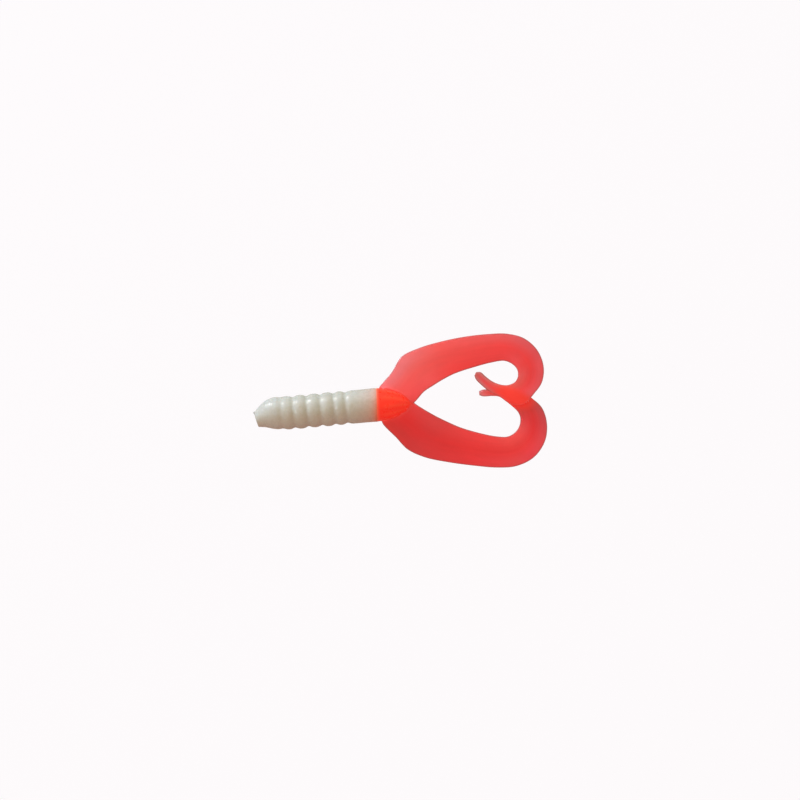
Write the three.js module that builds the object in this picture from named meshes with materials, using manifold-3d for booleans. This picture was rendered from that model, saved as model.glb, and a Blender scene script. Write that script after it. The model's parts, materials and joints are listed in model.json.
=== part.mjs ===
// A twin-tail soft plastic grub: a ringed white body, a red hub and two flat curling tails.
// Millimetres. The nose is at the origin, the body runs along +X and the tails lie in the XY plane,
// sagging from the body's axis down to the surface that the bait lies on.
import * as THREE from 'three';
import { LoftGeometry } from 'three/addons/geometries/LoftGeometry.js';
import { mergeVertices } from 'three/addons/utils/BufferGeometryUtils.js';
import Module from 'manifold-3d';

const wasm = await Module();
wasm.setup();

// Body
const BODY_SIDES = 20;
const GROOVES = [7.2, 10.3, 13.9, 17.5, 21.0, 24.1]; // x of each groove, nose to collar
const STEPS_PER_RING = 6;
const SMALLEST_STEP = 0.02;
const CREST_RADIUS = 4.42;
const GROOVE_RADIUS = 3.8;
const FIRST_GROOVE_RADIUS = 4.12; // the first groove is only a shallow one
const COLLAR_RADIUS = 4.36;
const COLLAR_SHOULDER = 1.9; // length over which the collar rises out of its groove
const NOSE_START = -0.6; // the nose is moulded a little long and cut off at the origin
const NOSE_RADIUS = 1.95; // at the cut
const NOSE_LENGTH = 6.5;
const SHOULDER_RADIUS = 4.27; // at the rear end of the nose
const NOSE_STEPS = [ NOSE_START, 0, 1.2, 3, 5 ];
const NOSE_OFFSET = -0.95; // the cut end sits to one side of the body's axis
const NOSE_OFFSET_LENGTH = 3.6;
const NOSE_BOW = 0.22; // and the nose bows a little to the other side behind it
const NOSE_BOW_LENGTH = 9;
const NOSE_CUT_TILT = THREE.MathUtils.degToRad( 12 );
const COLOUR_LINE = 32; // where the white pour meets the red one

// Bending places of the body: a ball on the front piece sits in a socket in the rear piece
const BODY_BENDS = [ GROOVES[ 1 ], GROOVES[ 3 ], GROOVES[ 5 ] ];
const BALL_RADIUS = 3.0;
const SOCKET_RADIUS = 3.3;
const BEND_HALF_GAP = 0.7;
const BALL_SIDES = 18;
const FIT_GAP = 0.3;

// Hub
const HUB_RADIUS = 4.4;
const DOME_START = 31;
const DOME_END = 41.2;
const DOME_POWER = 2.6;
const DOME_STEPS = 9;

// Tails: a flat section, thick at the root and thin at the tip
const ROOT_THICKNESS = 1.3;
const CURL_THICKNESS = 0.95;
const TIP_THICKNESS = 0.8;
const CURL_STATION = 8;
const SECTION_SIDES = 10;
const SECTION_FLATNESS = 0.5; // below 1 the section is flatter than an ellipse
const STEPS_PER_STATION = 2;

// One station in each row, root to tip: outer edge x, y, inner edge x, y, and the height of the middle.
const UPPER_STATIONS = [
	[ 32.7, 3.0, 40.0, - 0.4, 0 ],
	[ 33.3, 4.7, 42.2, - 0.3, 0 ],
	[ 34.0, 5.4, 42.9, 0.5, 0 ],
	[ 36.9, 8.3, 44.8, 2.3, - 0.4 ],
	[ 39.7, 12.0, 47.2, 3.6, - 1.2 ],
	[ 44.2, 13.8, 50.0, 5.0, - 2.3 ],
	[ 49.5, 14.95, 53.4, 6.35, - 3.2 ],
	[ 56.6, 15.8, 58.3, 7.5, - 3.75 ],
	[ 63.0, 15.95, 63.2, 8.35, - 3.85 ],
	[ 67.9, 15.6, 66.6, 8.5, - 3.75 ],
	[ 72.3, 14.0, 68.7, 7.4, - 3.3 ],
	[ 75.5, 10.6, 69.8, 5.8, - 2.8 ],
	[ 76.8, 6.1, 69.75, 4.0, - 2.6 ],
	[ 76.0, 2.0, 69.0, 2.8, - 2.6 ],
	[ 73.7, - 0.8, 67.9, 2.25, - 2.6 ],
	[ 70.7, - 3.3, 66.8, 2.05, - 2.6 ],
	[ 67.3, - 3.0, 65.4, 2.25, - 2.6 ],
	[ 64.6, - 0.9, 64.0, 2.8, - 2.6 ],
	[ 61.5, 1.2, 62.7, 3.6, - 2.6 ],
	[ 59.9, 2.8, 61.4, 4.8, - 2.6 ],
	[ 58.7, 4.3, 60.1, 6.1, - 2.6 ],
	[ 58.4, 5.3, 58.9, 6.2, - 2.6 ],
];
const LOWER_STATIONS = [
	[ 32.7, - 3.2, 40.0, 0.1, 0 ],
	[ 33.2, - 5.0, 42.3, 0.0, 0 ],
	[ 34.0, - 6.2, 43.1, - 1.0, 0 ],
	[ 36.3, - 8.9, 45.0, - 2.75, - 0.4 ],
	[ 39.1, - 12.4, 47.4, - 4.4, - 1.2 ],
	[ 43.4, - 14.9, 50.2, - 6.1, - 2.3 ],
	[ 49.3, - 16.75, 53.6, - 7.95, - 3.2 ],
	[ 56.0, - 18.3, 58.4, - 9.85, - 3.75 ],
	[ 62.3, - 19.4, 63.0, - 11.2, - 3.88 ],
	[ 67.4, - 19.45, 65.8, - 11.45, - 3.9 ],
	[ 72.2, - 17.55, 67.9, - 10.45, - 3.92 ],
	[ 75.45, - 13.6, 69.1, - 8.9, - 3.92 ],
	[ 76.4, - 9.0, 69.5, - 6.9, - 3.92 ],
	[ 75.5, - 4.8, 69.1, - 5.4, - 3.92 ],
	[ 73.1, - 2.0, 68.1, - 4.1, - 3.92 ],
	[ 70.6, - 0.1, 66.7, - 2.7, - 3.92 ],
	[ 68.15, 1.1, 65.4, - 1.45, - 3.92 ],
	[ 65.0, 1.55, 64.3, - 0.75, - 3.92 ],
	[ 62.4, 1.35, 62.6, - 0.45, - 3.94 ],
	[ 60.3, 1.45, 60.3, - 0.35, - 3.96 ],
	[ 59.3, 1.15, 59.3, 0.05, - 3.96 ],
];

// Places where a tail bends. A straight cut runs along its hinge line, and faces outward at its angle.
// A round cut is an arc about its pivot, on the side that faces the root.
const CUT_HEIGHT = 12;
const STRAIGHT_GAP = 0.8;
const ROUND_GAP = 0.4;
const ROUND_SPREAD = THREE.MathUtils.degToRad( 62 );
const ARC_STEPS = 14;
const UPPER_CUTS = [
	{ x: 38.45, y: 2.95, angle: 61.2, length: 13 },
	{ x: 63.5, y: 12.2, angle: 180, radius: 6 },
	{ x: 73.3, y: 4.9, angle: 104, radius: 5.5 },
	{ x: 63.2, y: 1.7, angle: 144, length: 6 },
];
const LOWER_CUTS = [
	{ x: 38.55, y: - 3.6, angle: - 60.3, length: 13.4 },
	{ x: 63.5, y: - 15.3, angle: 176, radius: 6 },
	{ x: 72.8, y: - 7.9, angle: - 104, radius: 5.5 },
	{ x: 63.3, y: 0.4, angle: 174, length: 5 },
];

// A point well inside each piece of a tail, used to tell the pieces apart after the cuts
const UPPER_PIECES = { blade: [ 49, 9.5 ], curl: [ 68, 12 ], hook: [ 71.5, 2 ], tip: [ 60.8, 3.8 ] };
const LOWER_PIECES = { blade: [ 49, - 11.5 ], curl: [ 68, - 15.2 ], hook: [ 70.5, - 4 ], tip: [ 61, 0.5 ] };
const ROOT_POINT = [ 37, 0 ];

const whiteVinyl = { color: 0xdedbd0, roughness: 0.32, metalness: 0 };
const redVinyl = { color: 0xff3a28, roughness: 0.35, metalness: 0 };
const coralVinyl = { color: 0xf24848, roughness: 0.4, metalness: 0 };

function toSolid( geometry ) {

	const welded = geometry.index === null ? geometry.clone() : geometry.toNonIndexed();
	welded.deleteAttribute( 'normal' );
	welded.deleteAttribute( 'uv' );
	const merged = mergeVertices( welded, 1e-5 );
	const mesh = new wasm.Mesh( {
		numProp: 3,
		vertProperties: new Float32Array( merged.attributes.position.array ),
		triVerts: new Uint32Array( merged.index.array ),
	} );
	return new wasm.Manifold( mesh );

}

function toGeometry( solid ) {

	const mesh = solid.getMesh();
	const geometry = new THREE.BufferGeometry();
	geometry.setAttribute( 'position', new THREE.Float32BufferAttribute( mesh.vertProperties, 3 ) );
	geometry.setIndex( new THREE.Uint32BufferAttribute( mesh.triVerts, 1 ) );
	geometry.computeVertexNormals();
	return geometry;

}

function noseWave( x, length ) {

	return Math.sin( Math.PI / 2 * Math.min( x / length, 1 ) );

}

function bodyRadius( x ) {

	const first = GROOVES[ 0 ];
	const last = GROOVES.at( - 1 );
	if ( x < first ) {

		return NOSE_RADIUS + ( SHOULDER_RADIUS - NOSE_RADIUS ) * noseWave( x, NOSE_LENGTH );

	}

	if ( x >= last ) {

		const rise = Math.min( ( x - last ) / COLLAR_SHOULDER, 1 );
		return GROOVE_RADIUS + ( COLLAR_RADIUS - GROOVE_RADIUS ) * Math.sin( Math.PI / 2 * rise );

	}

	const ring = GROOVES.findLastIndex( ( groove ) => groove <= x );
	const across = ( x - GROOVES[ ring ] ) / ( GROOVES[ ring + 1 ] - GROOVES[ ring ] );
	const start = ring === 0 ? FIRST_GROOVE_RADIUS : GROOVE_RADIUS;
	const floor = start + ( GROOVE_RADIUS - start ) * across;
	return floor + ( CREST_RADIUS - floor ) * Math.sqrt( Math.sin( Math.PI * across ) );

}

function bodyOffset( x ) {

	const bow = NOSE_BOW * Math.sin( Math.PI * THREE.MathUtils.clamp( x / NOSE_BOW_LENGTH, 0, 1 ) );
	return bow + NOSE_OFFSET * ( 1 - noseWave( x, NOSE_OFFSET_LENGTH ) );

}

function ringSection( x, radius, offset = 0 ) {

	const points = [];
	for ( let i = 0; i < BODY_SIDES; i ++ ) {

		const angle = 2 * Math.PI * i / BODY_SIDES;
		points.push( new THREE.Vector3( x, offset + radius * Math.cos( angle ), radius * Math.sin( angle ) ) );

	}

	return points;

}

// The body between two x positions, with a section at every step of each ring
function bodyBetween( start, end ) {

	const edges = [ ...NOSE_STEPS, ...GROOVES, GROOVES.at( - 1 ) + COLLAR_SHOULDER, COLOUR_LINE ];
	const places = [ start, end ];
	edges.forEach( ( edge, i ) => {

		const next = edges[ i + 1 ] ?? edge;
		const steps = GROOVES.includes( edge ) ? STEPS_PER_RING : 1;
		for ( let k = 0; k < steps; k ++ ) places.push( edge + ( next - edge ) * k / steps );

	} );
	const inside = places.filter( ( x ) => x >= start && x <= end ).sort( ( a, b ) => a - b );
	const sections = inside.filter( ( x, i ) => i === 0 || x - inside[ i - 1 ] > SMALLEST_STEP )
		.map( ( x ) => ringSection( x, bodyRadius( x ), bodyOffset( x ) ) );
	return toSolid( new LoftGeometry( sections, { capStart: true, capEnd: true } ) );

}

function sphere( x, radius ) {

	const geometry = new THREE.SphereGeometry( radius, BALL_SIDES, BALL_SIDES * 2 / 3 );
	geometry.translate( x, 0, 0 );
	return toSolid( geometry );

}

function noseCut() {

	const size = 20;
	const block = new THREE.BoxGeometry( size, size, size );
	block.translate( - size / 2, 0, 0 );
	block.rotateZ( NOSE_CUT_TILT );
	return toSolid( block );

}

function withBall( solid, bend ) {

	return solid.add( sphere( bend, BALL_RADIUS ) );

}

function withSocket( solid, bend ) {

	return solid.subtract( sphere( bend, SOCKET_RADIUS ) );

}

function bodySegments() {

	const [ front, middle, rear ] = BODY_BENDS;
	const nose = bodyBetween( NOSE_START, front - BEND_HALF_GAP ).subtract( noseCut() );
	const first = bodyBetween( front + BEND_HALF_GAP, middle - BEND_HALF_GAP );
	const second = bodyBetween( middle + BEND_HALF_GAP, rear - BEND_HALF_GAP );
	const collar = bodyBetween( rear + BEND_HALF_GAP, COLOUR_LINE - FIT_GAP / 2 );
	return {
		nose_segment: withBall( nose, front ),
		front_segment: withSocket( withBall( first, middle ), front ),
		middle_segment: withSocket( withBall( second, rear ), middle ),
		collar_segment: withSocket( collar, rear ),
	};

}

function domeRadius( x ) {

	const along = Math.max( x - DOME_START, 0 ) / ( DOME_END - DOME_START );
	return HUB_RADIUS * ( 1 - along ** DOME_POWER );

}

function dome() {

	const sections = [];
	for ( let i = 0; i < DOME_STEPS; i ++ ) {

		const along = Math.sin( Math.PI / 2 * i / DOME_STEPS );
		const x = THREE.MathUtils.lerp( COLOUR_LINE + FIT_GAP / 2, DOME_END, along );
		sections.push( ringSection( x, domeRadius( x ) ) );

	}

	return toSolid( new LoftGeometry( sections, { capStart: true, capEnd: true } ) );

}

function tailThickness( station, count ) {

	if ( station < CURL_STATION ) {

		return THREE.MathUtils.lerp( ROOT_THICKNESS, CURL_THICKNESS, station / CURL_STATION );

	}

	const along = ( station - CURL_STATION ) / ( count - 1 - CURL_STATION );
	return THREE.MathUtils.lerp( CURL_THICKNESS, TIP_THICKNESS, along );

}

function flattened( value ) {

	return Math.sign( value ) * Math.abs( value ) ** SECTION_FLATNESS;

}

// A tail is a flat band lofted between its outer and inner edges. Side is 1 where the outer edge is on
// the left of the way from root to tip, and -1 where it is on the right.
function tailSolid( stations, side ) {

	const edge = ( x, y ) => new THREE.CatmullRomCurve3(
		stations.map( ( s ) => new THREE.Vector3( s[ x ], s[ y ], s[ 4 ] ) ), false, 'centripetal' );
	const outer = edge( 0, 1 );
	const inner = edge( 2, 3 );
	const steps = ( stations.length - 1 ) * STEPS_PER_STATION;
	const sections = [];
	for ( let i = 0; i <= steps; i ++ ) {

		const a = outer.getPoint( i / steps );
		const b = inner.getPoint( i / steps );
		const half = tailThickness( i / STEPS_PER_STATION, stations.length ) / 2;
		const points = [];
		for ( let k = 0; k < SECTION_SIDES; k ++ ) {

			const angle = side * 2 * Math.PI * k / SECTION_SIDES;
			const across = ( 1 + flattened( Math.cos( angle ) ) ) / 2;
			const point = b.clone().lerp( a, across );
			point.z += half * flattened( Math.sin( angle ) );
			points.push( point );

		}

		sections.push( points );

	}

	return toSolid( new LoftGeometry( sections, { capStart: true, capEnd: true } ) );

}

function cutter( { x, y, angle, length, radius } ) {

	let geometry;
	if ( radius === undefined ) {

		geometry = new THREE.BoxGeometry( STRAIGHT_GAP, length, CUT_HEIGHT );

	} else {

		const arc = new THREE.Shape();
		arc.absarc( 0, 0, radius + ROUND_GAP, - ROUND_SPREAD, ROUND_SPREAD, false );
		arc.absarc( 0, 0, radius, ROUND_SPREAD, - ROUND_SPREAD, true );
		geometry = new THREE.ExtrudeGeometry( arc, {
			depth: CUT_HEIGHT, bevelEnabled: false, curveSegments: ARC_STEPS,
		} );
		geometry.translate( 0, 0, - CUT_HEIGHT / 2 );

	}

	geometry.rotateZ( THREE.MathUtils.degToRad( angle ) );
	geometry.translate( x, y, 0 );
	return toSolid( geometry );

}

// The closed piece whose middle lies nearest to a point
function pieceAt( pieces, [ x, y ] ) {

	const distance = ( piece ) => {

		const { min, max } = piece.boundingBox();
		return Math.hypot( ( min[ 0 ] + max[ 0 ] ) / 2 - x, ( min[ 1 ] + max[ 1 ] ) / 2 - y );

	};

	return pieces.reduce( ( best, piece ) => ( distance( piece ) < distance( best ) ? piece : best ) );

}

function tailPieces( stations, side, cuts, names ) {

	const whole = cuts.reduce( ( solid, cut ) => solid.subtract( cutter( cut ) ), tailSolid( stations, side ) );
	const pieces = whole.decompose();
	const named = { root: pieceAt( pieces, ROOT_POINT ) };
	for ( const [ name, point ] of Object.entries( names ) ) named[ name ] = pieceAt( pieces, point );
	return named;

}

const grub = new THREE.Group();

function addMesh( name, solid, finish ) {

	const mesh = new THREE.Mesh( toGeometry( solid ), new THREE.MeshStandardMaterial( finish ) );
	mesh.name = name;
	grub.add( mesh );

}

for ( const [ name, solid ] of Object.entries( bodySegments() ) ) addMesh( name, solid, whiteVinyl );

const upper = tailPieces( UPPER_STATIONS, 1, UPPER_CUTS, UPPER_PIECES );
const lower = tailPieces( LOWER_STATIONS, - 1, LOWER_CUTS, LOWER_PIECES );
addMesh( 'tail_hub', dome().add( upper.root ).add( lower.root ), redVinyl );
for ( const piece of Object.keys( UPPER_PIECES ) ) {

	addMesh( `upper_${ piece }`, upper[ piece ], coralVinyl );
	addMesh( `lower_${ piece }`, lower[ piece ], coralVinyl );

}

export default grub;
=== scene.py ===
"""A twin-tail soft plastic grub: ringed white body, red hub and two translucent curling tails.

The CAD frame gives the size, the place and the joints. Each stretch of skin here covers one joint of the
frame.
"""
import json
import math

import bpy
import numpy as np
from mathutils import Matrix, Vector


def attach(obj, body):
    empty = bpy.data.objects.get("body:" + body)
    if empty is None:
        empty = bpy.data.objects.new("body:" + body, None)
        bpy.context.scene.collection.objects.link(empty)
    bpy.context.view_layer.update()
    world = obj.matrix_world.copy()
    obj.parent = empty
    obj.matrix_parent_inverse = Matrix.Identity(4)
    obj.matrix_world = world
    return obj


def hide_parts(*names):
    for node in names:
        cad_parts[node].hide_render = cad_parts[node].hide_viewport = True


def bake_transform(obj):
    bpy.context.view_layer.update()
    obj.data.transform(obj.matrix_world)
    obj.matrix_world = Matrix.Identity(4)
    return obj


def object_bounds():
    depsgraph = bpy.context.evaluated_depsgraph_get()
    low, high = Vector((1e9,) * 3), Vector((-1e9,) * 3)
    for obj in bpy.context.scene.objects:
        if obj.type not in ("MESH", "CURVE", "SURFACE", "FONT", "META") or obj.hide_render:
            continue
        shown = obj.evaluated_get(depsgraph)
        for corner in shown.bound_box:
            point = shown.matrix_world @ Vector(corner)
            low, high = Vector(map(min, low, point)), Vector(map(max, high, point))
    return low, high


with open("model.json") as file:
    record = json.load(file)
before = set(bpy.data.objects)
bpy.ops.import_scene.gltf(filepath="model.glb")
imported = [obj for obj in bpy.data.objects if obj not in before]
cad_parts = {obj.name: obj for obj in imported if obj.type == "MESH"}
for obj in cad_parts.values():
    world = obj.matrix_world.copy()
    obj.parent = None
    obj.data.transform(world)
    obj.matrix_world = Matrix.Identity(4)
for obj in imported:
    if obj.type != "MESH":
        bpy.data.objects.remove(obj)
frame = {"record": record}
CAD_LOW, CAD_HIGH = [list(corner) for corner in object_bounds()]

MM = 0.001
JOINTS = {joint["name"]: joint for joint in frame["record"]["behaviour"]["joints"]}
BODY_LENGTH_CENTRE = (CAD_LOW[0] + CAD_HIGH[0]) / 2

# ---------------------------------------------------------------- camera, light and floor

CAMERA_LENS = 100
SENSOR = 36
VIEW_WIDTH = 209.8 * MM
PICTURE_TURN = math.radians(5.2)
AIM_Y = 0.7 * MM

WARM_SIDE = (0.72, 0.45, 0.36)
COOL_SIDE = (0.81, 0.80, 0.54)
SIDE_SPAN = (-0.6, 0.6)
CEILING = 0.85
CEILING_SPAN = (0.75, 1.0)
GROUND = 0.62
GROUND_SPAN = (-0.15, 0.05)

# The floor lies below the deepest reach of the dropped tails.
DEEPEST_REACH = 55 * MM
FLOOR_Z = CAD_LOW[2] - DEEPEST_REACH
FLOOR_RADIUS = 0.9
FLOOR_RINGS = (0.3, 0.6, 1.0)
FLOOR_SIDES = 72
WALL_CURVE = 0.5
WALL_CURVE_STEPS = 12
WALL_HEIGHT = 4 * WALL_CURVE
FLOOR_BASE = (0.03, 0.03, 0.03, 1)
FLOOR_ROUGHNESS = 0.8
FLOOR_LIGHT = (1.0, 0.975, 0.99, 1)
FLOOR_GLOW = 0.958

LAMP_DISTANCE = 0.6
KEY_DIRECTION = (-0.50, 0.84, 0.22)
KEY_SIZE = 0.34
KEY_COLOR = (0.64, 0.74, 1.0)
SPOT_SIZE = 0.035
SPOT_COLOR = (1.0, 1.0, 0.98)


def make_camera():
    """A long lens straight above, turned so that the body rises slightly to the right."""
    data = bpy.data.cameras.new("camera")
    data.lens = CAMERA_LENS
    data.sensor_width = SENSOR
    camera = bpy.data.objects.new("camera", data)
    right = Vector((math.cos(PICTURE_TURN), -math.sin(PICTURE_TURN), 0))
    up = Vector((math.sin(PICTURE_TURN), math.cos(PICTURE_TURN), 0))
    turn = Matrix((right, up, Vector((0, 0, 1)))).transposed().to_4x4()
    height = VIEW_WIDTH * CAMERA_LENS / SENSOR
    place = Vector((BODY_LENGTH_CENTRE, AIM_Y, height))
    camera.matrix_world = Matrix.Translation(place) @ turn
    bpy.context.collection.objects.link(camera)
    bpy.context.scene.camera = camera


def area_light(name, direction, size, power, color, glossy=True, diffuse=True):
    """A round lamp that faces the bait, and may be left out of the highlights or of the soft light."""
    data = bpy.data.lights.new(name, "AREA")
    data.shape = "DISK"
    data.size = size
    data.energy = power
    data.color = color
    light = bpy.data.objects.new(name, data)
    toward = Vector(direction).normalized()
    middle = Vector((BODY_LENGTH_CENTRE, 0, 0))
    light.location = middle + toward * LAMP_DISTANCE
    light.rotation_euler = toward.to_track_quat("Z", "Y").to_euler()
    light.visible_camera = False
    light.visible_glossy = glossy
    light.visible_diffuse = diffuse
    bpy.context.collection.objects.link(light)


def make_lamps():
    area_light("key", KEY_DIRECTION, KEY_SIZE, 2.6, KEY_COLOR, glossy=False)
    area_light("sheen", KEY_DIRECTION, KEY_SIZE, 1.4, KEY_COLOR)
    area_light("glint", (-0.58, 0.81, 0.05), SPOT_SIZE, 0.6, SPOT_COLOR, diffuse=False)
    area_light("spark", (-0.41, 0.84, 0.22), SPOT_SIZE, 0.42, SPOT_COLOR, diffuse=False)
    area_light("window", (-0.80, 0.10, 0.60), 0.30, 0.5, (0.8, 1.0, 0.9))


def map_range(tree, socket, span, low, high):
    """A socket that goes from low to high while another one goes across a span."""
    node = tree.nodes.new("ShaderNodeMapRange")
    values = {"From Min": span[0], "From Max": span[1], "To Min": low, "To Max": high}
    for label, value in values.items():
        node.inputs[label].default_value = value
    tree.links.new(socket, node.inputs["Value"])
    return node.outputs["Result"]


def product(tree, first, second):
    """A socket with the product of two others."""
    node = tree.nodes.new("ShaderNodeMath")
    node.operation = "MULTIPLY"
    tree.links.new(first, node.inputs[0])
    tree.links.new(second, node.inputs[1])
    return node.outputs["Value"]


def make_world():
    """A cool bright side towards +Y, a warm dim side towards -Y, and a dimmer ceiling and ground."""
    world = bpy.data.worlds.new("studio")
    world.use_nodes = True
    bpy.context.scene.world = world
    tree = world.node_tree
    background = tree.nodes["Background"]
    place = tree.nodes.new("ShaderNodeTexCoord")
    split = tree.nodes.new("ShaderNodeSeparateXYZ")
    tree.links.new(place.outputs["Generated"], split.inputs[0])
    sides = tree.nodes.new("ShaderNodeMix")
    sides.data_type = "RGBA"
    sides.inputs["A"].default_value = (*WARM_SIDE, 1)
    sides.inputs["B"].default_value = (*COOL_SIDE, 1)
    tree.links.new(map_range(tree, split.outputs["Y"], SIDE_SPAN, 0, 1), sides.inputs["Factor"])
    tree.links.new(sides.outputs["Result"], background.inputs["Color"])
    ceiling = map_range(tree, split.outputs["Z"], CEILING_SPAN, 1, CEILING)
    ground = map_range(tree, split.outputs["Z"], GROUND_SPAN, GROUND, 1)
    tree.links.new(product(tree, ceiling, ground), background.inputs["Strength"])


def floor_profile():
    """Radius and height of the floor's rings: flat, then curving up into the wall."""
    profile = [(FLOOR_RADIUS * share, 0.0) for share in FLOOR_RINGS]
    for step in range(1, WALL_CURVE_STEPS + 1):
        turn = math.pi / 2 * step / WALL_CURVE_STEPS
        profile.append((FLOOR_RADIUS + WALL_CURVE * math.sin(turn), WALL_CURVE * (1 - math.cos(turn))))
    profile.append((FLOOR_RADIUS + WALL_CURVE, WALL_HEIGHT))
    return profile


def make_floor():
    """A pale round table whose rim curves up into a wall."""
    profile = floor_profile()
    verts = [(0, 0, 0)]
    for radius, height in profile:
        for k in range(FLOOR_SIDES):
            angle = 2 * math.pi * k / FLOOR_SIDES
            verts.append((radius * math.cos(angle), radius * math.sin(angle), height))
    faces = [(0, 1 + k, 1 + (k + 1) % FLOOR_SIDES) for k in range(FLOOR_SIDES)]
    for row in range(len(profile) - 1):
        first = 1 + row * FLOOR_SIDES
        for k in range(FLOOR_SIDES):
            after = (k + 1) % FLOOR_SIDES
            outer = first + FLOOR_SIDES
            faces.append((first + k, outer + k, outer + after, first + after))
    mesh = bpy.data.meshes.new("floor")
    mesh.from_pydata(verts, [], faces)
    mesh.shade_smooth()
    floor = bpy.data.objects.new("floor", mesh)
    floor.location = (BODY_LENGTH_CENTRE, 0, FLOOR_Z)
    floor.visible_diffuse = False
    floor.visible_glossy = False
    floor.visible_shadow = False
    bpy.context.collection.objects.link(floor)
    material = bpy.data.materials.new("pale_floor")
    material.use_nodes = True
    shader = material.node_tree.nodes["Principled BSDF"]
    shader.inputs["Base Color"].default_value = FLOOR_BASE
    shader.inputs["Roughness"].default_value = FLOOR_ROUGHNESS
    shader.inputs["Specular IOR Level"].default_value = 0.0
    shader.inputs["Emission Color"].default_value = FLOOR_LIGHT
    shader.inputs["Emission Strength"].default_value = FLOOR_GLOW
    mesh.materials.append(material)


bpy.context.scene.view_settings.view_transform = "Standard"
make_camera()
make_world()
make_floor()
make_lamps()

# ---------------------------------------------------------------- colours and materials


def linear(*srgb):
    """sRGB values from 0 to 255 as linear numbers."""
    value = np.array(srgb, float) / 255
    return np.where(value <= 0.04045, value / 12.92, ((value + 0.055) / 1.055) ** 2.4)


WHITE_TINT = linear(188, 186, 180)
NOSE_TINT = linear(190, 190, 187)
# Red bled into the white near the colour line, together with painted red glow of light through the plastic.
RED_BLEED_AND_GLOW_TINT = linear(226, 120, 94)
HUB_TINT = linear(250, 46, 26)
# Painted highlight: paler red on the crests of the dome's ridges.
HUB_RIDGE_HIGHLIGHT_TINT = linear(255, 78, 50)
# Painted shade: the greyish red that darkens the tails' edges.
RIM_SHADE_TINT = linear(140, 84, 84)
# Painted glow: the brighter, deeper red of light passing through both tails where they cross.
CROSSING_GLOW_TINT = linear(255, 62, 48)

VINYL_IOR = 1.46
SCATTER_RADIUS = (1.6 * MM, 0.8 * MM, 0.5 * MM)
NOISE_SPAN = (0.3, 0.7)
MOTTLE = 0.02
MOTTLE_SCALE = 260
STREAK_SCALE = 1.6
GLOSS_SCALE = 900
# The roughness goes from this much under its usual value to this much over it.
GLOSSIER = 0.06
DULLER = 0.08
GRAIN_SCALE = 2600
GRAIN_HEIGHT = 0.02 * MM
WAVE_SCALE = 0.9
WAVE_HEIGHT = 0.05 * MM


def vinyl(
    name, *, roughness, streak, grain, wave, glow, glow_strength,
    subsurface=0.0, transmission=0.0, specular=0.5,
):
    """Plastisol: the painted tint with a faint mottle and streaks, and a slightly uneven glossy skin."""
    material = bpy.data.materials.new(name)
    material.use_nodes = True
    tree = material.node_tree
    shader = tree.nodes["Principled BSDF"]

    def attribute(label):
        node = tree.nodes.new("ShaderNodeAttribute")
        node.attribute_name = label
        return node

    def noise(source, scale, detail):
        node = tree.nodes.new("ShaderNodeTexNoise")
        node.inputs["Scale"].default_value = scale
        node.inputs["Detail"].default_value = detail
        tree.links.new(source.outputs["Vector"], node.inputs["Vector"])
        return node.outputs["Fac"]

    def bump(height, strength, distance):
        node = tree.nodes.new("ShaderNodeBump")
        node.inputs["Strength"].default_value = strength
        node.inputs["Distance"].default_value = distance
        tree.links.new(height, node.inputs["Height"])
        return node

    rest = attribute("rest_place")
    flow = attribute("flow_place")
    cloud = map_range(tree, noise(rest, MOTTLE_SCALE, 3), NOISE_SPAN, 1 - MOTTLE, 1 + MOTTLE)
    lines = map_range(tree, noise(flow, STREAK_SCALE, 2), NOISE_SPAN, 1 - streak, 1 + streak)
    shade = tree.nodes.new("ShaderNodeHueSaturation")
    tree.links.new(product(tree, cloud, lines), shade.inputs["Value"])
    tree.links.new(attribute("tint").outputs["Color"], shade.inputs["Color"])
    tree.links.new(shade.outputs["Color"], shader.inputs["Base Color"])

    patches = noise(rest, GLOSS_SCALE, 2)
    gloss = map_range(tree, patches, NOISE_SPAN, roughness - GLOSSIER, roughness + DULLER)
    tree.links.new(gloss, shader.inputs["Roughness"])

    fine = bump(noise(rest, GRAIN_SCALE, 4), grain, GRAIN_HEIGHT)
    wavy = bump(noise(flow, WAVE_SCALE, 2), wave, WAVE_HEIGHT)
    tree.links.new(fine.outputs["Normal"], wavy.inputs["Normal"])
    tree.links.new(wavy.outputs["Normal"], shader.inputs["Normal"])

    shader.inputs["IOR"].default_value = VINYL_IOR
    shader.inputs["Specular IOR Level"].default_value = specular
    shader.inputs["Transmission Weight"].default_value = transmission
    shader.inputs["Subsurface Weight"].default_value = subsurface
    shader.inputs["Subsurface Radius"].default_value = SCATTER_RADIUS
    shader.inputs["Subsurface Scale"].default_value = 1.0
    shader.inputs["Emission Color"].default_value = (*glow, 1)
    shader.inputs["Emission Strength"].default_value = glow_strength
    return material


# The two reds glow with painted red light, the same under any lamp, for their fluorescence and inner scatter.
WHITE = vinyl(
    "pearl_white_vinyl", roughness=0.26, streak=0.012, grain=0.2, wave=0.25,
    glow=(1, 1, 1), glow_strength=0.0, subsurface=0.12,
)
RED = vinyl(
    "hot_red_vinyl", roughness=0.3, streak=0.03, grain=0.15, wave=0.1,
    glow=(1.0, 0.02, 0.01), glow_strength=0.19, subsurface=0.1,
)
CORAL = vinyl(
    "coral_vinyl", roughness=0.46, streak=0.025, grain=0.2, wave=0.2,
    glow=(1.0, 0.09, 0.11), glow_strength=0.06, transmission=0.18, specular=0.3,
)


# ---------------------------------------------------------------- meshes


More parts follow.
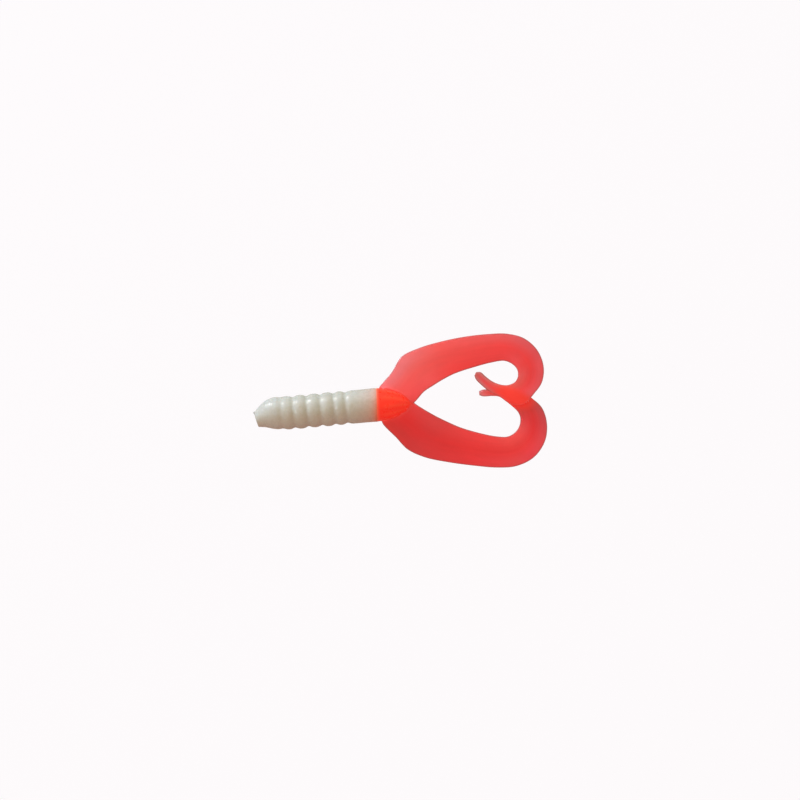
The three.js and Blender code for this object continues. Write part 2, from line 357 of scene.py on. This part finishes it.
def grid_piece(name, places, tints, flows, *, closed_start, closed_end, material):
    """A tube of quads from sections of equal size, shaped (sections, points, 3), in millimetres."""
    count, around = places.shape[:2]
    verts = list(places.reshape(-1, 3))
    tint = list(tints.reshape(-1, 3))
    flow = list(flows.reshape(-1, 3))
    faces = []
    for row in range(count - 1):
        first = row * around
        for k in range(around):
            after = (k + 1) % around
            faces.append((first + k, first + around + k, first + around + after, first + after))
    for wanted, row in ((closed_start, 0), (closed_end, count - 1)):
        if wanted:
            middle = len(verts)
            verts.append(places[row].mean(axis=0))
            tint.append(tints[row].mean(axis=0))
            flow.append(flows[row].mean(axis=0))
            for k in range(around):
                pair = (row * around + k, row * around + (k + 1) % around)
                faces.append((middle, *pair) if row == 0 else (middle, pair[1], pair[0]))
    verts = np.array(verts) * MM
    mesh = bpy.data.meshes.new(name)
    mesh.from_pydata(verts.tolist(), [], faces)
    mesh.update()
    mesh.shade_smooth()
    colour = mesh.attributes.new("tint", "FLOAT_COLOR", "POINT")
    colour.data.foreach_set("color", np.c_[np.array(tint), np.ones(len(verts))].ravel())
    for label, values in (("rest_place", verts), ("flow_place", np.array(flow))):
        layer = mesh.attributes.new(label, "FLOAT_VECTOR", "POINT")
        layer.data.foreach_set("vector", values.ravel())
    mesh.materials.append(material)
    piece = bpy.data.objects.new(name, mesh)
    bpy.context.collection.objects.link(piece)
    return piece


def smooth(value, low, high):
    """A soft step from 0 at low to 1 at high."""
    t = np.clip((value - low) / (high - low), 0, 1)
    return t * t * (3 - 2 * t)


def stretch(x, rise, fall):
    """1 on a stretch of the axis, with a soft start and a soft end."""
    return smooth(x, *rise) * (1 - smooth(x, *fall))


def mix(first, second, share):
    """The tints between two others, for a share at each point."""
    share = share[..., None]
    return first * (1 - share) + second * share


# ---------------------------------------------------------------- body, in millimetres

GROOVES = np.array([7.2, 10.3, 13.9, 17.5, 21.0, 24.1])
GROOVE_RADII = np.array([4.02, 3.80, 3.76, 3.80, 3.82, 3.80])
CREST_RADII = np.array([4.36, 4.42, 4.40, 4.43, 4.39])
RING_ROUNDNESS = 2.3
GROOVE_SOFTNESS = 0.5
SOFTENING = ((-1.0, 0.12), (-0.5, 0.23), (0.0, 0.3), (0.5, 0.23), (1.0, 0.12))
SOFT_VALLEYS = ((0.6, 1.6), (28, 29))

NOSE_RADIUS = 1.95
NOSE_LENGTH = 6.5
SHOULDER_RADIUS = 4.25
SHOULDER_LENGTH = 1.1
NOSE_OFFSET = -0.95
NOSE_OFFSET_LENGTH = 3.6
NOSE_BOW = 0.22
NOSE_BOW_LENGTH = 9.0
NOSE_TILT = math.tan(math.radians(12))
NOSE_TILT_FADE = 4.0
NOSE_RIPPLE = 0.013
NOSE_RIPPLE_PITCH = 0.7
RIPPLE_STRETCH = ((0.8, 1.6), (4.2, 5.6))

# Rings that close the cut face: share of the nose's edge, and how far they lie back from it.
CUT_RINGS = ((0.12, 0.0), (0.45, 0.0), (0.8, 0.0), (0.95, 0.01), (0.99, 0.06))
CUT_ROUNDING = 0.14
NUB_SIDE = 0.8
NUB_RADIUS = 0.36
NUB_LENGTH = 0.26
NUB_REACH = 0.6

COLLAR_RADIUS = 4.34
COLLAR_SHOULDER = 1.7
COLOUR_LINE = 32.0
COLOUR_LEAN = 0.058
COLOUR_LEAN_MIDDLE = -3.0
COLOUR_LEAN_REACH = 1.6
LEAN_PASSES = 3
PARTING_RIDGE = 0.03
PARTING_WIDTH = 0.035

HUB_START = 29
HUB_RADIUS = 4.4
DOME_START = 31.0
DOME_END = 41.2
DOME_TIP_GAP = 0.01
DOME_POWER = 2.35
DOME_BLUNTNESS = 0.72
DOME_OFFSET = -0.45
RIDGES = 11
RIDGE_HEIGHT = 0.006
RIDGE_STRETCH = ((33, 36), (39.5, 41))

AROUND = 160
STEP = 0.12
HUB_SECTIONS = 110
BODY_FLOW_ALONG = 0.6

NOSE_TINT_FADE = (4, 10)
# The red near the colour line is partly the plastic's own colour and partly painted glow, more on the shaded
# side.
RED_BLEED_AND_GLOW_STRENGTH = 0.75
RED_BLEED_AND_GLOW_REACH = 0.9
RED_BLEED_AND_GLOW_HAZE = 0.2
RED_BLEED_AND_GLOW_HAZE_START = 25
GLOW_GAIN_ON_SHADED_SIDE = 0.42
RIDGE_HIGHLIGHT_STRENGTH = 0.5
RIDGE_HIGHLIGHT_START = (COLOUR_LINE + 0.6, 35)
HUB_EDGE = (COLOUR_LINE - 0.4, COLOUR_LINE + 1.0)

# Name, first and last station, CAD nodes covered, the joint inside, and how far its bend reaches each way.
BODY_SKINS = (
    ("nose_skin", CUT_ROUNDING, GROOVES[2], ("nose_segment", "front_segment"), "front_bend", 3.0),
    ("middle_skin", GROOVES[2], GROOVES[4], ("middle_segment",), "body_arch", 3.2),
    ("collar_skin", GROOVES[4], COLOUR_LINE, ("collar_segment",), "rear_bend", 2.9),
)


def along_dome(x):
    return np.clip((x - DOME_START) / (DOME_END - DOME_START), 0, 1)


def sharp_radius(x):
    """The body's radius along its axis, with a sharp valley at each groove."""
    swell = np.sin(math.pi / 2 * np.clip(x / NOSE_LENGTH, -1, 1))
    radius = NOSE_RADIUS + (SHOULDER_RADIUS - NOSE_RADIUS) * swell
    shoulder = smooth(x, GROOVES[0] - SHOULDER_LENGTH, GROOVES[0])
    radius = radius + (GROOVE_RADII[0] - SHOULDER_RADIUS) * shoulder
    for ring, crest in enumerate(CREST_RADII):
        start, end = GROOVES[ring], GROOVES[ring + 1]
        across = np.clip((x - start) / (end - start), 0, 1)
        low = GROOVE_RADII[ring] + (GROOVE_RADII[ring + 1] - GROOVE_RADII[ring]) * across
        rounded = low + (crest - low) * (1 - np.abs(1 - 2 * across) ** RING_ROUNDNESS)
        radius = np.where((x >= start) & (x < end), rounded, radius)
    rise = 1 - (1 - np.clip((x - GROOVES[-1]) / COLLAR_SHOULDER, 0, 1)) ** RING_ROUNDNESS
    collar = GROOVE_RADII[-1] + (COLLAR_RADIUS - GROOVE_RADII[-1]) * rise
    radius = np.where(x >= GROOVES[-1], collar, radius)
    hub = COLLAR_RADIUS + (HUB_RADIUS - COLLAR_RADIUS) * smooth(x, HUB_START, COLOUR_LINE)
    dome = hub * (1 - along_dome(x) ** DOME_POWER) ** DOME_BLUNTNESS
    return np.where(x >= HUB_START, dome, radius)


def body_radius(x):
    """The body's radius with its groove valleys rounded, as a weighted mean over a short stretch."""
    soft = sum(weight * sharp_radius(x + shift * GROOVE_SOFTNESS) for shift, weight in SOFTENING)
    share = stretch(x, *SOFT_VALLEYS)
    return sharp_radius(x) * (1 - share) + soft * share


def body_offset(x):
    """How far the middle of the body lies to the side of its axis, at the nose and at the dome."""
    bow = NOSE_BOW * np.sin(math.pi * np.clip(x / NOSE_BOW_LENGTH, 0, 1))
    nose = NOSE_OFFSET * (1 - np.sin(math.pi / 2 * np.clip(x / NOSE_OFFSET_LENGTH, -1, 1)))
    return bow + nose + DOME_OFFSET * along_dome(x) ** 2


def body_sections(stations):
    """Sections square to the axis, except at the slanted cut and at the colour line, where they lean."""
    angle = np.linspace(0, 2 * math.pi, AROUND, endpoint=False)
    tilt = NOSE_TILT * (1 - smooth(stations, 0, NOSE_TILT_FADE))[:, None]
    lean = COLOUR_LEAN * np.exp(-((stations - COLOUR_LINE) / COLOUR_LEAN_REACH) ** 2)[:, None]
    x = np.repeat(stations[:, None], AROUND, axis=1)
    for _ in range(LEAN_PASSES):
        side = body_offset(x) + body_radius(x) * np.cos(angle)
        x = stations[:, None] - tilt * side + lean * (side - COLOUR_LEAN_MIDDLE)
    radius = body_radius(x)
    parting = np.exp(-(np.abs(np.sin(angle)) / PARTING_WIDTH) ** 2)
    radius = radius + PARTING_RIDGE * parting * (x < COLOUR_LINE)
    ripple = NOSE_RIPPLE * np.sin(2 * math.pi * x / NOSE_RIPPLE_PITCH)
    radius = radius + ripple * stretch(x, *RIPPLE_STRETCH) * (0.5 + 0.5 * np.cos(angle))
    ridge = RIDGE_HEIGHT * np.cos(RIDGES * angle) * stretch(x, *RIDGE_STRETCH)
    radius = radius * (1 + ridge)
    return np.stack([x, body_offset(x) + radius * np.cos(angle), radius * np.sin(angle)], axis=-1)


def body_flow(places):
    """Coordinates for streaks that run round the body, close together along it."""
    angle = np.arctan2(places[..., 2], places[..., 1])
    return np.stack([places[..., 0] * BODY_FLOW_ALONG, np.cos(angle), np.sin(angle)], axis=-1)


def around_body(places, x):
    """The angle of each point round the body's middle, from the side of the key light."""
    return np.arctan2(places[..., 2], places[..., 1] - body_offset(x))


def white_tints(places, stations):
    """White, cooler at the nose; near the colour line, red bled in and painted red glow, more on the shaded
    side.
    """
    x = stations[:, None]
    bleed_and_glow = RED_BLEED_AND_GLOW_STRENGTH * np.exp(-np.maximum(COLOUR_LINE - x, 0) / RED_BLEED_AND_GLOW_REACH)
    bleed_and_glow = bleed_and_glow + RED_BLEED_AND_GLOW_HAZE * smooth(x, RED_BLEED_AND_GLOW_HAZE_START, COLOUR_LINE)
    # Painted glow: the red shows more on the side away from the key light.
    bleed_and_glow = bleed_and_glow * (1 - GLOW_GAIN_ON_SHADED_SIDE * np.cos(around_body(places, x)))
    white = mix(NOSE_TINT, WHITE_TINT, smooth(x, *NOSE_TINT_FADE))
    return mix(white, RED_BLEED_AND_GLOW_TINT, np.clip(bleed_and_glow, 0, 1))


def hub_tints(places, stations):
    """Red with painted highlights as paler streaks along the ridges, and a softer edge at the colour line."""
    x = stations[:, None]
    # Painted highlights on the ridges' crests.
    streak = 0.5 + 0.5 * np.cos(RIDGES * around_body(places, x))
    tint = mix(HUB_TINT, HUB_RIDGE_HIGHLIGHT_TINT, RIDGE_HIGHLIGHT_STRENGTH * streak ** 2 * smooth(x, *RIDGE_HIGHLIGHT_START))
    return mix(tint, RED_BLEED_AND_GLOW_TINT, 1 - smooth(x, *HUB_EDGE))


def cut_face(sections):
    """Rings that round the nose's edge and close its flat cut face, from the middle outwards."""
    first = sections[0]
    middle = first.mean(axis=0)
    rings = []
    for share, back in CUT_RINGS:
        ring = middle + (first - middle) * share
        ring[:, 0] += back
        rings.append(ring)
    return np.array(rings)


def sprue_nub(places):
    """The torn stub that the moulding sprue leaves on the upper edge of the cut."""
    reach = np.hypot(places[..., 1] - NUB_SIDE, places[..., 2]) / NUB_RADIUS
    places[..., 0] -= NUB_LENGTH * np.exp(-reach ** 4) * (places[..., 0] < NUB_REACH)
    return places


def make_body():
    for name, first, last, nodes, joint_name, reach in BODY_SKINS:
        stations = np.linspace(first, last, round((last - first) / STEP) + 1)
        sections = body_sections(stations)
        at_nose = name == "nose_skin"
        if at_nose:
            face = cut_face(sections)
            sections = sprue_nub(np.concatenate([face, sections]))
            stations = np.concatenate([np.zeros(len(face)), stations])
        piece = grid_piece(
            name, sections, white_tints(sections, stations), body_flow(sections),
            closed_start=at_nose, closed_end=False, material=WHITE,
        )
        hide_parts(*nodes)
        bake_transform(piece)


def make_hub():
    share = np.linspace(0, 1, HUB_SECTIONS)
    stations = COLOUR_LINE + (DOME_END - DOME_TIP_GAP - COLOUR_LINE) * np.sin(math.pi / 2 * share)
    sections = body_sections(stations)
    piece = grid_piece(
        "hub_skin", sections, hub_tints(sections, stations), body_flow(sections),
        closed_start=False, closed_end=True, material=RED,
    )
    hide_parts("tail_hub")
    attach(piece, "rear")


# ---------------------------------------------------------------- tails, in millimetres

ROOT_THICKNESS = 1.3
CURL_THICKNESS = 0.95
TIP_THICKNESS = 0.8
CURL_STATION = 8
TAIL_AROUND = 40
TAIL_STEPS = 16
# The section's points crowd towards the band's edges, which are full and rounded but thinner than the middle.
EDGE_CROWDING = 0.62
EDGE_FULLNESS = 0.5
EDGE_THINNING = 0.38
FILLET_HEIGHT = 0.4
FILLET_REACH = 0.5
FILLET_DEPTH = 1.0
FILLET_FADE = (0.7, 1.0)

# Shares of the width between which the middle's tint turns into an edge's.
BAND_SPAN = (0.5, 0.9)
BLUSH_REACH = 0.5
# Painted shade on the tails' rims, over this distance from the edge in millimetres.
RIM_SHADE_SPAN = (0.08, 0.34)
RIM_SHADE_STRENGTH = 0.6
# The painted glow where the tails cross: the other tail's outline from this station, dimming towards the
# tips.
CROSSING_STATION = 12
CROSSING_END = (16.2, 18.2)
CROSSING_DIMMING = 0.8
OUTLINE_POINTS = 90
TAIL_FLOW_ALONG = 0.35
TAIL_FLOW_ACROSS = 6

# One station in each row, root to tip: outer edge x, y, inner edge x, y, and the height of the middle.
UPPER_STATIONS = [
    (32.7, 3.0, 40.0, -1.9, 0),
    (33.3, 4.7, 41.5, -0.75, 0),
    (34.0, 5.4, 42.8, 0.4, 0),
    (36.9, 8.3, 44.8, 2.3, -0.4),
    (39.7, 12.0, 47.2, 3.6, -1.2),
    (44.2, 13.8, 50.0, 5.0, -2.3),
    (49.5, 14.95, 53.4, 6.35, -3.2),
    (56.6, 15.8, 58.3, 7.5, -3.75),
    (63.0, 15.95, 63.2, 8.35, -3.85),
    (67.9, 15.6, 66.6, 8.5, -3.75),
    (72.3, 14.0, 68.7, 7.4, -3.3),
    (75.5, 10.6, 69.8, 5.8, -2.8),
    (76.8, 6.1, 69.75, 4.0, -2.6),
    (76.0, 2.0, 69.0, 2.8, -2.6),
    (73.7, -0.8, 67.9, 2.25, -2.6),
    (70.7, -3.3, 66.8, 2.05, -2.6),
    (67.3, -3.0, 65.4, 2.25, -2.6),
    (64.6, -0.9, 64.0, 2.8, -2.6),
    (61.5, 1.2, 62.7, 3.6, -2.6),
    (59.9, 2.8, 61.4, 4.8, -2.6),
    (58.7, 4.3, 60.1, 6.1, -2.6),
    (58.4, 5.3, 58.9, 6.2, -2.6),
]
LOWER_STATIONS = [
    (32.7, -3.2, 40.0, 1.3, 0),
    (33.2, -5.0, 41.5, 0.05, 0),
    (34.0, -6.2, 42.8, -1.1, 0),
    (36.3, -8.9, 45.0, -2.75, -0.4),
    (39.1, -12.4, 47.4, -4.4, -1.2),
    (43.4, -14.9, 50.2, -6.1, -2.3),
    (49.3, -16.75, 53.6, -7.95, -3.2),
    (56.0, -18.3, 58.4, -9.85, -3.75),
    (62.3, -19.4, 63.0, -11.2, -3.88),
    (67.4, -19.45, 65.8, -11.45, -3.9),
    (72.2, -17.55, 67.9, -10.45, -3.92),
    (75.45, -13.6, 69.1, -8.9, -3.92),
    (76.4, -9.0, 69.5, -6.9, -3.92),
    (75.5, -4.8, 69.1, -5.4, -3.92),
    (73.1, -2.0, 68.1, -4.1, -3.92),
    (70.6, -0.1, 66.7, -2.7, -3.92),
    (68.15, 1.1, 65.4, -1.45, -3.92),
    (65.0, 1.55, 64.3, -0.75, -3.92),
    (62.4, 1.35, 62.6, -0.45, -3.94),
    (60.3, 1.45, 60.3, -0.35, -3.96),
    (59.3, 1.15, 59.3, 0.05, -3.96),
]

# Besides the coral red, these hold painted light: paler pink edges and tips, as if lit through the thin
# plastic.
# Tints and painted light: a station, then the colour near the inner edge, in the middle and near the outer
# edge.
UPPER_TINTS_AND_LIGHT = [
    (0, (248, 76, 86), (248, 88, 92), (236, 118, 128)),
    (4, (248, 86, 92), (243, 89, 90), (238, 119, 127)),
    (6, (250, 70, 73), (240, 78, 79), (247, 91, 93)),
    (9, (239, 68, 73), (244, 63, 66), (234, 88, 94)),
    (10, (231, 67, 73), (230, 57, 61), (223, 84, 94)),
    (11, (229, 62, 64), (235, 54, 56), (223, 76, 87)),
    (12, (227, 86, 89), (232, 57, 62), (233, 84, 96)),
    (14, (232, 88, 82), (243, 70, 76), (240, 92, 108)),
    (16, (248, 78, 66), (252, 67, 55), (234, 72, 62)),
    (19, (205, 110, 114), (232, 75, 84), (208, 119, 128)),
    (21, (200, 110, 108), (205, 105, 105), (200, 120, 120)),
]
LOWER_TINTS_AND_LIGHT = [
    (0, (242, 62, 68), (245, 40, 38), (222, 45, 34)),
    (4, (228, 62, 68), (229, 36, 42), (221, 51, 56)),
    (7, (243, 62, 66), (233, 46, 50), (238, 54, 62)),
    (9, (240, 74, 74), (234, 50, 54), (236, 74, 84)),
    (10, (241, 76, 79), (238, 56, 60), (240, 68, 86)),
    (11, (231, 76, 82), (233, 46, 54), (232, 74, 88)),
    (12, (225, 60, 70), (225, 42, 50), (216, 68, 82)),
    (13, (214, 64, 68), (222, 50, 52), (200, 70, 80)),
    (14.2, (226, 76, 76), (246, 58, 50), (236, 80, 76)),
    (17, (240, 84, 76), (251, 82, 72), (246, 90, 78)),
    (19, (240, 128, 140), (240, 118, 128), (232, 132, 142)),
    (20, (205, 128, 134), (208, 132, 138), (208, 138, 142)),
]


def spline(points, places):
    """A centripetal Catmull-Rom curve through points, at places counted in points."""
    points = np.array(points, float)
    before, beyond = [2 * points[0] - points[1]], [2 * points[-1] - points[-2]]
    padded = np.concatenate([before, points, beyond])
    index = np.minimum(places.astype(int), len(points) - 2)
    t = (places - index)[:, None]
    p0, p1, p2, p3 = (padded[index + k] for k in range(4))
    steps = ((p0, p1), (p1, p2), (p2, p3))
    d0, d1, d2 = (np.linalg.norm(b - a, axis=1)[:, None] ** 0.5 for a, b in steps)
    m1 = d1 * ((p1 - p0) / d0 - (p2 - p0) / (d0 + d1) + (p2 - p1) / d1)
    m2 = d1 * ((p2 - p1) / d1 - (p3 - p1) / (d1 + d2) + (p3 - p2) / d2)
    cubic = (2 * p1 - 2 * p2 + m1 + m2) * t ** 3
    return p1 + m1 * t + (-3 * p1 + 3 * p2 - 2 * m1 - m2) * t ** 2 + cubic


def tail_thickness(place, last):
    root = ROOT_THICKNESS + (CURL_THICKNESS - ROOT_THICKNESS) * place / CURL_STATION
    beyond = (place - CURL_STATION) / (last - CURL_STATION)
    tip = CURL_THICKNESS + (TIP_THICKNESS - CURL_THICKNESS) * beyond
    return np.where(place < CURL_STATION, root, tip)


def signed_power(value, power):
    return np.sign(value) * np.abs(value) ** power


def tail_sections(stations, side, places):
    """Lens-shaped sections across the band, with a fillet where it leaves the hub.

    Also gives, for each point, the share of the way to the outer edge, its distance to the hub and that to
    the nearer edge.
    """
    table = np.array(stations, float)
    outer = spline(table[:, [0, 1, 4]], places)[:, None, :]
    inner = spline(table[:, [2, 3, 4]], places)[:, None, :]
    angle = side * np.linspace(0, 2 * math.pi, TAIL_AROUND, endpoint=False)
    across = signed_power(np.cos(angle), EDGE_CROWDING)
    share = ((1 + across) / 2)[None, :, None]
    sections = inner * (1 - share) + outer * share
    half = tail_thickness(places, len(stations) - 1)[:, None] / 2
    lens = 1 - EDGE_THINNING * across[None, :] ** 2
    x, y = sections[..., 0], sections[..., 1]
    hub_radius = np.where(x < DOME_END, body_radius(np.minimum(x, DOME_END)), 0)
    clear = np.maximum(np.abs(y - body_offset(x)) - hub_radius, np.maximum(x - DOME_END, 0))
    fillet = FILLET_HEIGHT * np.exp(-np.maximum(clear, 0) / FILLET_REACH)
    fillet = (fillet + np.clip(-clear, 0, FILLET_DEPTH)) * (1 - smooth(np.abs(across), *FILLET_FADE))
    sections[..., 2] += (half * lens + fillet) * signed_power(np.sin(angle), EDGE_FULLNESS)
    share = share[..., 0] * np.ones(x.shape)
    edge = np.minimum(share, 1 - share) * np.linalg.norm(outer - inner, axis=-1)
    return sections, share, clear, edge


def outline(stations, first):
    """The tail's outline seen from above, from one station to the tip."""
    table = np.array(stations, float)
    places = np.linspace(first, len(stations) - 1, OUTLINE_POINTS)
    return np.concatenate([spline(table[:, :2], places), spline(table[:, 2:4], places)[::-1]])


def depth_inside(points, corners):
    """How far each point lies inside a closed outline, and below 0 outside it."""
    start, end = corners, np.roll(corners, -1, axis=0)
    inside = np.zeros(len(points), bool)
    nearest = np.full(len(points), np.inf)
    for (x0, y0), (x1, y1) in zip(start, end):
        along = np.array([x1 - x0, y1 - y0])
        away = points - (x0, y0)
        t = np.clip(away @ along / max(along @ along, 1e-12), 0, 1)
        nearest = np.minimum(nearest, np.linalg.norm(away - t[:, None] * along, axis=1))
        if y0 != y1:
            crosses = (points[:, 1] > min(y0, y1)) & (points[:, 1] <= max(y0, y1))
            inside ^= crosses & (points[:, 0] < x0 + (points[:, 1] - y0) * (x1 - x0) / (y1 - y0))
    return np.where(inside, nearest, -nearest)


def crossing_glow_share(sections, places, other, fade):
    """How strongly each point shows the painted glow where this tail overlaps the other one."""
    flat = sections[..., :2].reshape(-1, 2)
    deep = depth_inside(flat, outline(other, CROSSING_STATION)).reshape(sections.shape[:2])
    return smooth(deep, *fade) * (1 - CROSSING_DIMMING * smooth(places, *CROSSING_END))[:, None]


def tail_tints(stops, places, share, clear, edge, crossing_glow):
    """The painted bands, the hub's red at the root, the painted glow at the crossing and the painted greyish
    rim shade.
    """
    marks = [stop[0] for stop in stops]
    bands = []
    for band in (1, 2, 3):
        colours = np.array([linear(*stop[band]) for stop in stops])
        bands.append(np.stack([np.interp(places, marks, colours[:, c]) for c in range(3)], axis=-1))
    inner, middle, outer = (band[:, None, :] for band in bands)
    tint = mix(middle, outer, smooth(share, *BAND_SPAN))
    tint = mix(tint, inner, smooth(1 - share, *BAND_SPAN))
    tint = mix(tint, HUB_TINT, np.exp(-np.maximum(clear, 0) / BLUSH_REACH))
    # Painted glow where the tails cross.
    tint = mix(tint, CROSSING_GLOW_TINT, crossing_glow)
    # Painted shade along the rims, except where the tails cross.
    return mix(tint, RIM_SHADE_TINT, RIM_SHADE_STRENGTH * (1 - smooth(edge, *RIM_SHADE_SPAN)) * (1 - crossing_glow))


def tail_flow(places, share):
    """Coordinates for streaks that run along the tail."""
    along = np.repeat(places[:, None], share.shape[1], axis=1)
    flow = [along * TAIL_FLOW_ALONG, share * TAIL_FLOW_ACROSS, np.zeros(share.shape)]
    return np.stack(flow, axis=-1)


def make_tail(name, stations, tints, *, side, seams, bends, other, fade):
    """Four skins from root to tip, each with one joint inside it.

    The seams between them are station numbers. A bend is a joint with the start and the end of its bending,
    measured from the hinge. The fade is how deep inside the other tail's outline the painted glow patch
    starts and is full.
    """
    nodes = [(), (f"{name}_blade",), (f"{name}_curl",), (f"{name}_hook", f"{name}_tip")]
    labels = ["root", "blade", "curl", "tip"]
    for i, (joint_name, start, end) in enumerate(bends):
        steps = round((seams[i + 1] - seams[i]) * TAIL_STEPS)
        places = np.linspace(seams[i], seams[i + 1], steps + 1)
        sections, share, clear, edge = tail_sections(stations, side, places)
        crossing_glow = crossing_glow_share(sections, places, other, fade)
        colours = tail_tints(tints, places, share, clear, edge, crossing_glow)
        piece = grid_piece(
            f"{name}_{labels[i]}_skin", sections, colours, tail_flow(places, share),
            closed_start=i == 0, closed_end=i == len(bends) - 1, material=CORAL,
        )
        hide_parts(*nodes[i])
        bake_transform(piece)


def outward(joint_name):
    """The level direction square to a tail's hinge line, away from the root."""
    axis = Vector(JOINTS[joint_name]["axis"])
    return Vector((-axis.y, axis.x, 0)).normalized()


make_body()
make_hub()
UPPER_OUT = outward("upper_flap")
UPPER_TIP = outward("upper_flick")
LOWER_OUT = outward("lower_flap")
LOWER_TIP = outward("lower_flick")
make_tail(
    "upper", UPPER_STATIONS, UPPER_TINTS_AND_LIGHT, side=1, seams=(0, 5, 9, 14, 21), bends=(
        ("upper_flap", UPPER_OUT * -0.4, UPPER_OUT * 6.6),
        ("upper_uncurl", (-3.6, 0, 0), (3, 0, 0)),
        ("upper_unhook", (0, 3.3, 0), (0, -2.5, 0)),
        ("upper_flick", UPPER_TIP * -1.2, UPPER_TIP * 2.6),
    ), other=LOWER_STATIONS, fade=(-0.9, 1.3),
)
make_tail(
    "lower", LOWER_STATIONS, LOWER_TINTS_AND_LIGHT, side=-1, seams=(0, 5, 9, 13, 20), bends=(
        ("lower_flap", LOWER_OUT * -0.4, LOWER_OUT * 6.6),
        ("lower_uncurl", (-3.4, 0, 0), (2.2, 0, 0)),
        ("lower_unhook", (0, -3.3, 0), (0, 2.35, 0)),
        ("lower_flick", LOWER_TIP * -1.2, LOWER_TIP * 2.6),
    ), other=UPPER_STATIONS, fade=(-2.6, 0.4),
)
